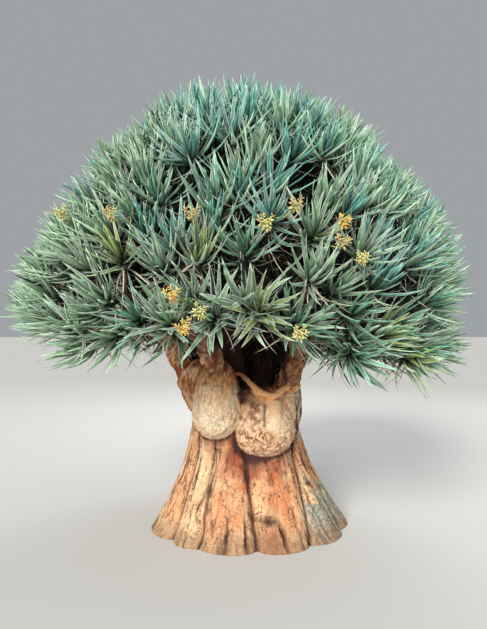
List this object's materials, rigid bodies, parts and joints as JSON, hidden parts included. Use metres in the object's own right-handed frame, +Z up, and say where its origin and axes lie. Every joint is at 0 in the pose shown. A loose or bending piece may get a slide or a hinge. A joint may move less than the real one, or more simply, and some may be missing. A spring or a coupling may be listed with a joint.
{
  "type": "kokerboom tree",
  "caption": "Squat old kokerboom: broad fluted trunk with pouch-shaped burls, short forked boughs and a dense domed crown of spiky leaf rosettes.",
  "frame": {"origin": "middle of the flat cut at ground level under the trunk", "axes": "+Z up, -Y towards a viewer who faces the burls, +X to that viewer's right"},
  "size_m": [3.4092, 3.3929, 3.3261],
  "materials": {
    "bark": "rough, flaking in plates",
    "leaves": "waxy, matt"
  },
  "bodies": {
    "root": {"back_bough": "bark", "flank_bough_1": "bark", "flank_bough_2": "bark", "flank_bough_3": "bark", "flank_bough_4": "bark", "flank_bough_5": "bark", "flank_bough_6": "bark", "flank_bough_7": "bark", "flank_bough_8": "bark", "flank_foliage_1": "leaves", "flank_foliage_2": "leaves", "flank_foliage_3": "leaves", "flank_foliage_4": "leaves", "flank_foliage_5": "leaves", "flank_foliage_6": "leaves", "flank_foliage_7": "leaves", "flank_foliage_8": "leaves", "inner_left_bough": "bark", "inner_right_bough": "bark", "left_back_bough": "bark", "left_bough": "bark", "left_burl_bough": "bark", "right_back_bough": "bark", "right_bough": "bark", "rim_bough_1": "bark", "rim_bough_2": "bark", "rim_bough_3": "bark", "rim_bough_4": "bark", "rim_bough_5": "bark", "rim_bough_6": "bark", "rim_bough_7": "bark", "rim_bough_8": "bark", "rim_bough_9": "bark", "rim_foliage_1": "leaves", "rim_foliage_2": "leaves", "rim_foliage_3": "leaves", "rim_foliage_4": "leaves", "rim_foliage_5": "leaves", "rim_foliage_6": "leaves", "rim_foliage_7": "leaves", "rim_foliage_8": "leaves", "rim_foliage_9": "leaves", "shoulder_bough_1": "bark", "shoulder_bough_2": "bark", "shoulder_bough_3": "bark", "shoulder_bough_4": "bark", "shoulder_bough_5": "bark", "shoulder_foliage_1": "leaves", "shoulder_foliage_2": "leaves", "shoulder_foliage_3": "leaves", "shoulder_foliage_4": "leaves", "shoulder_foliage_5": "leaves", "top_bough": "bark", "top_foliage": "leaves", "trunk": "bark"}
  },
  "joints": []
}
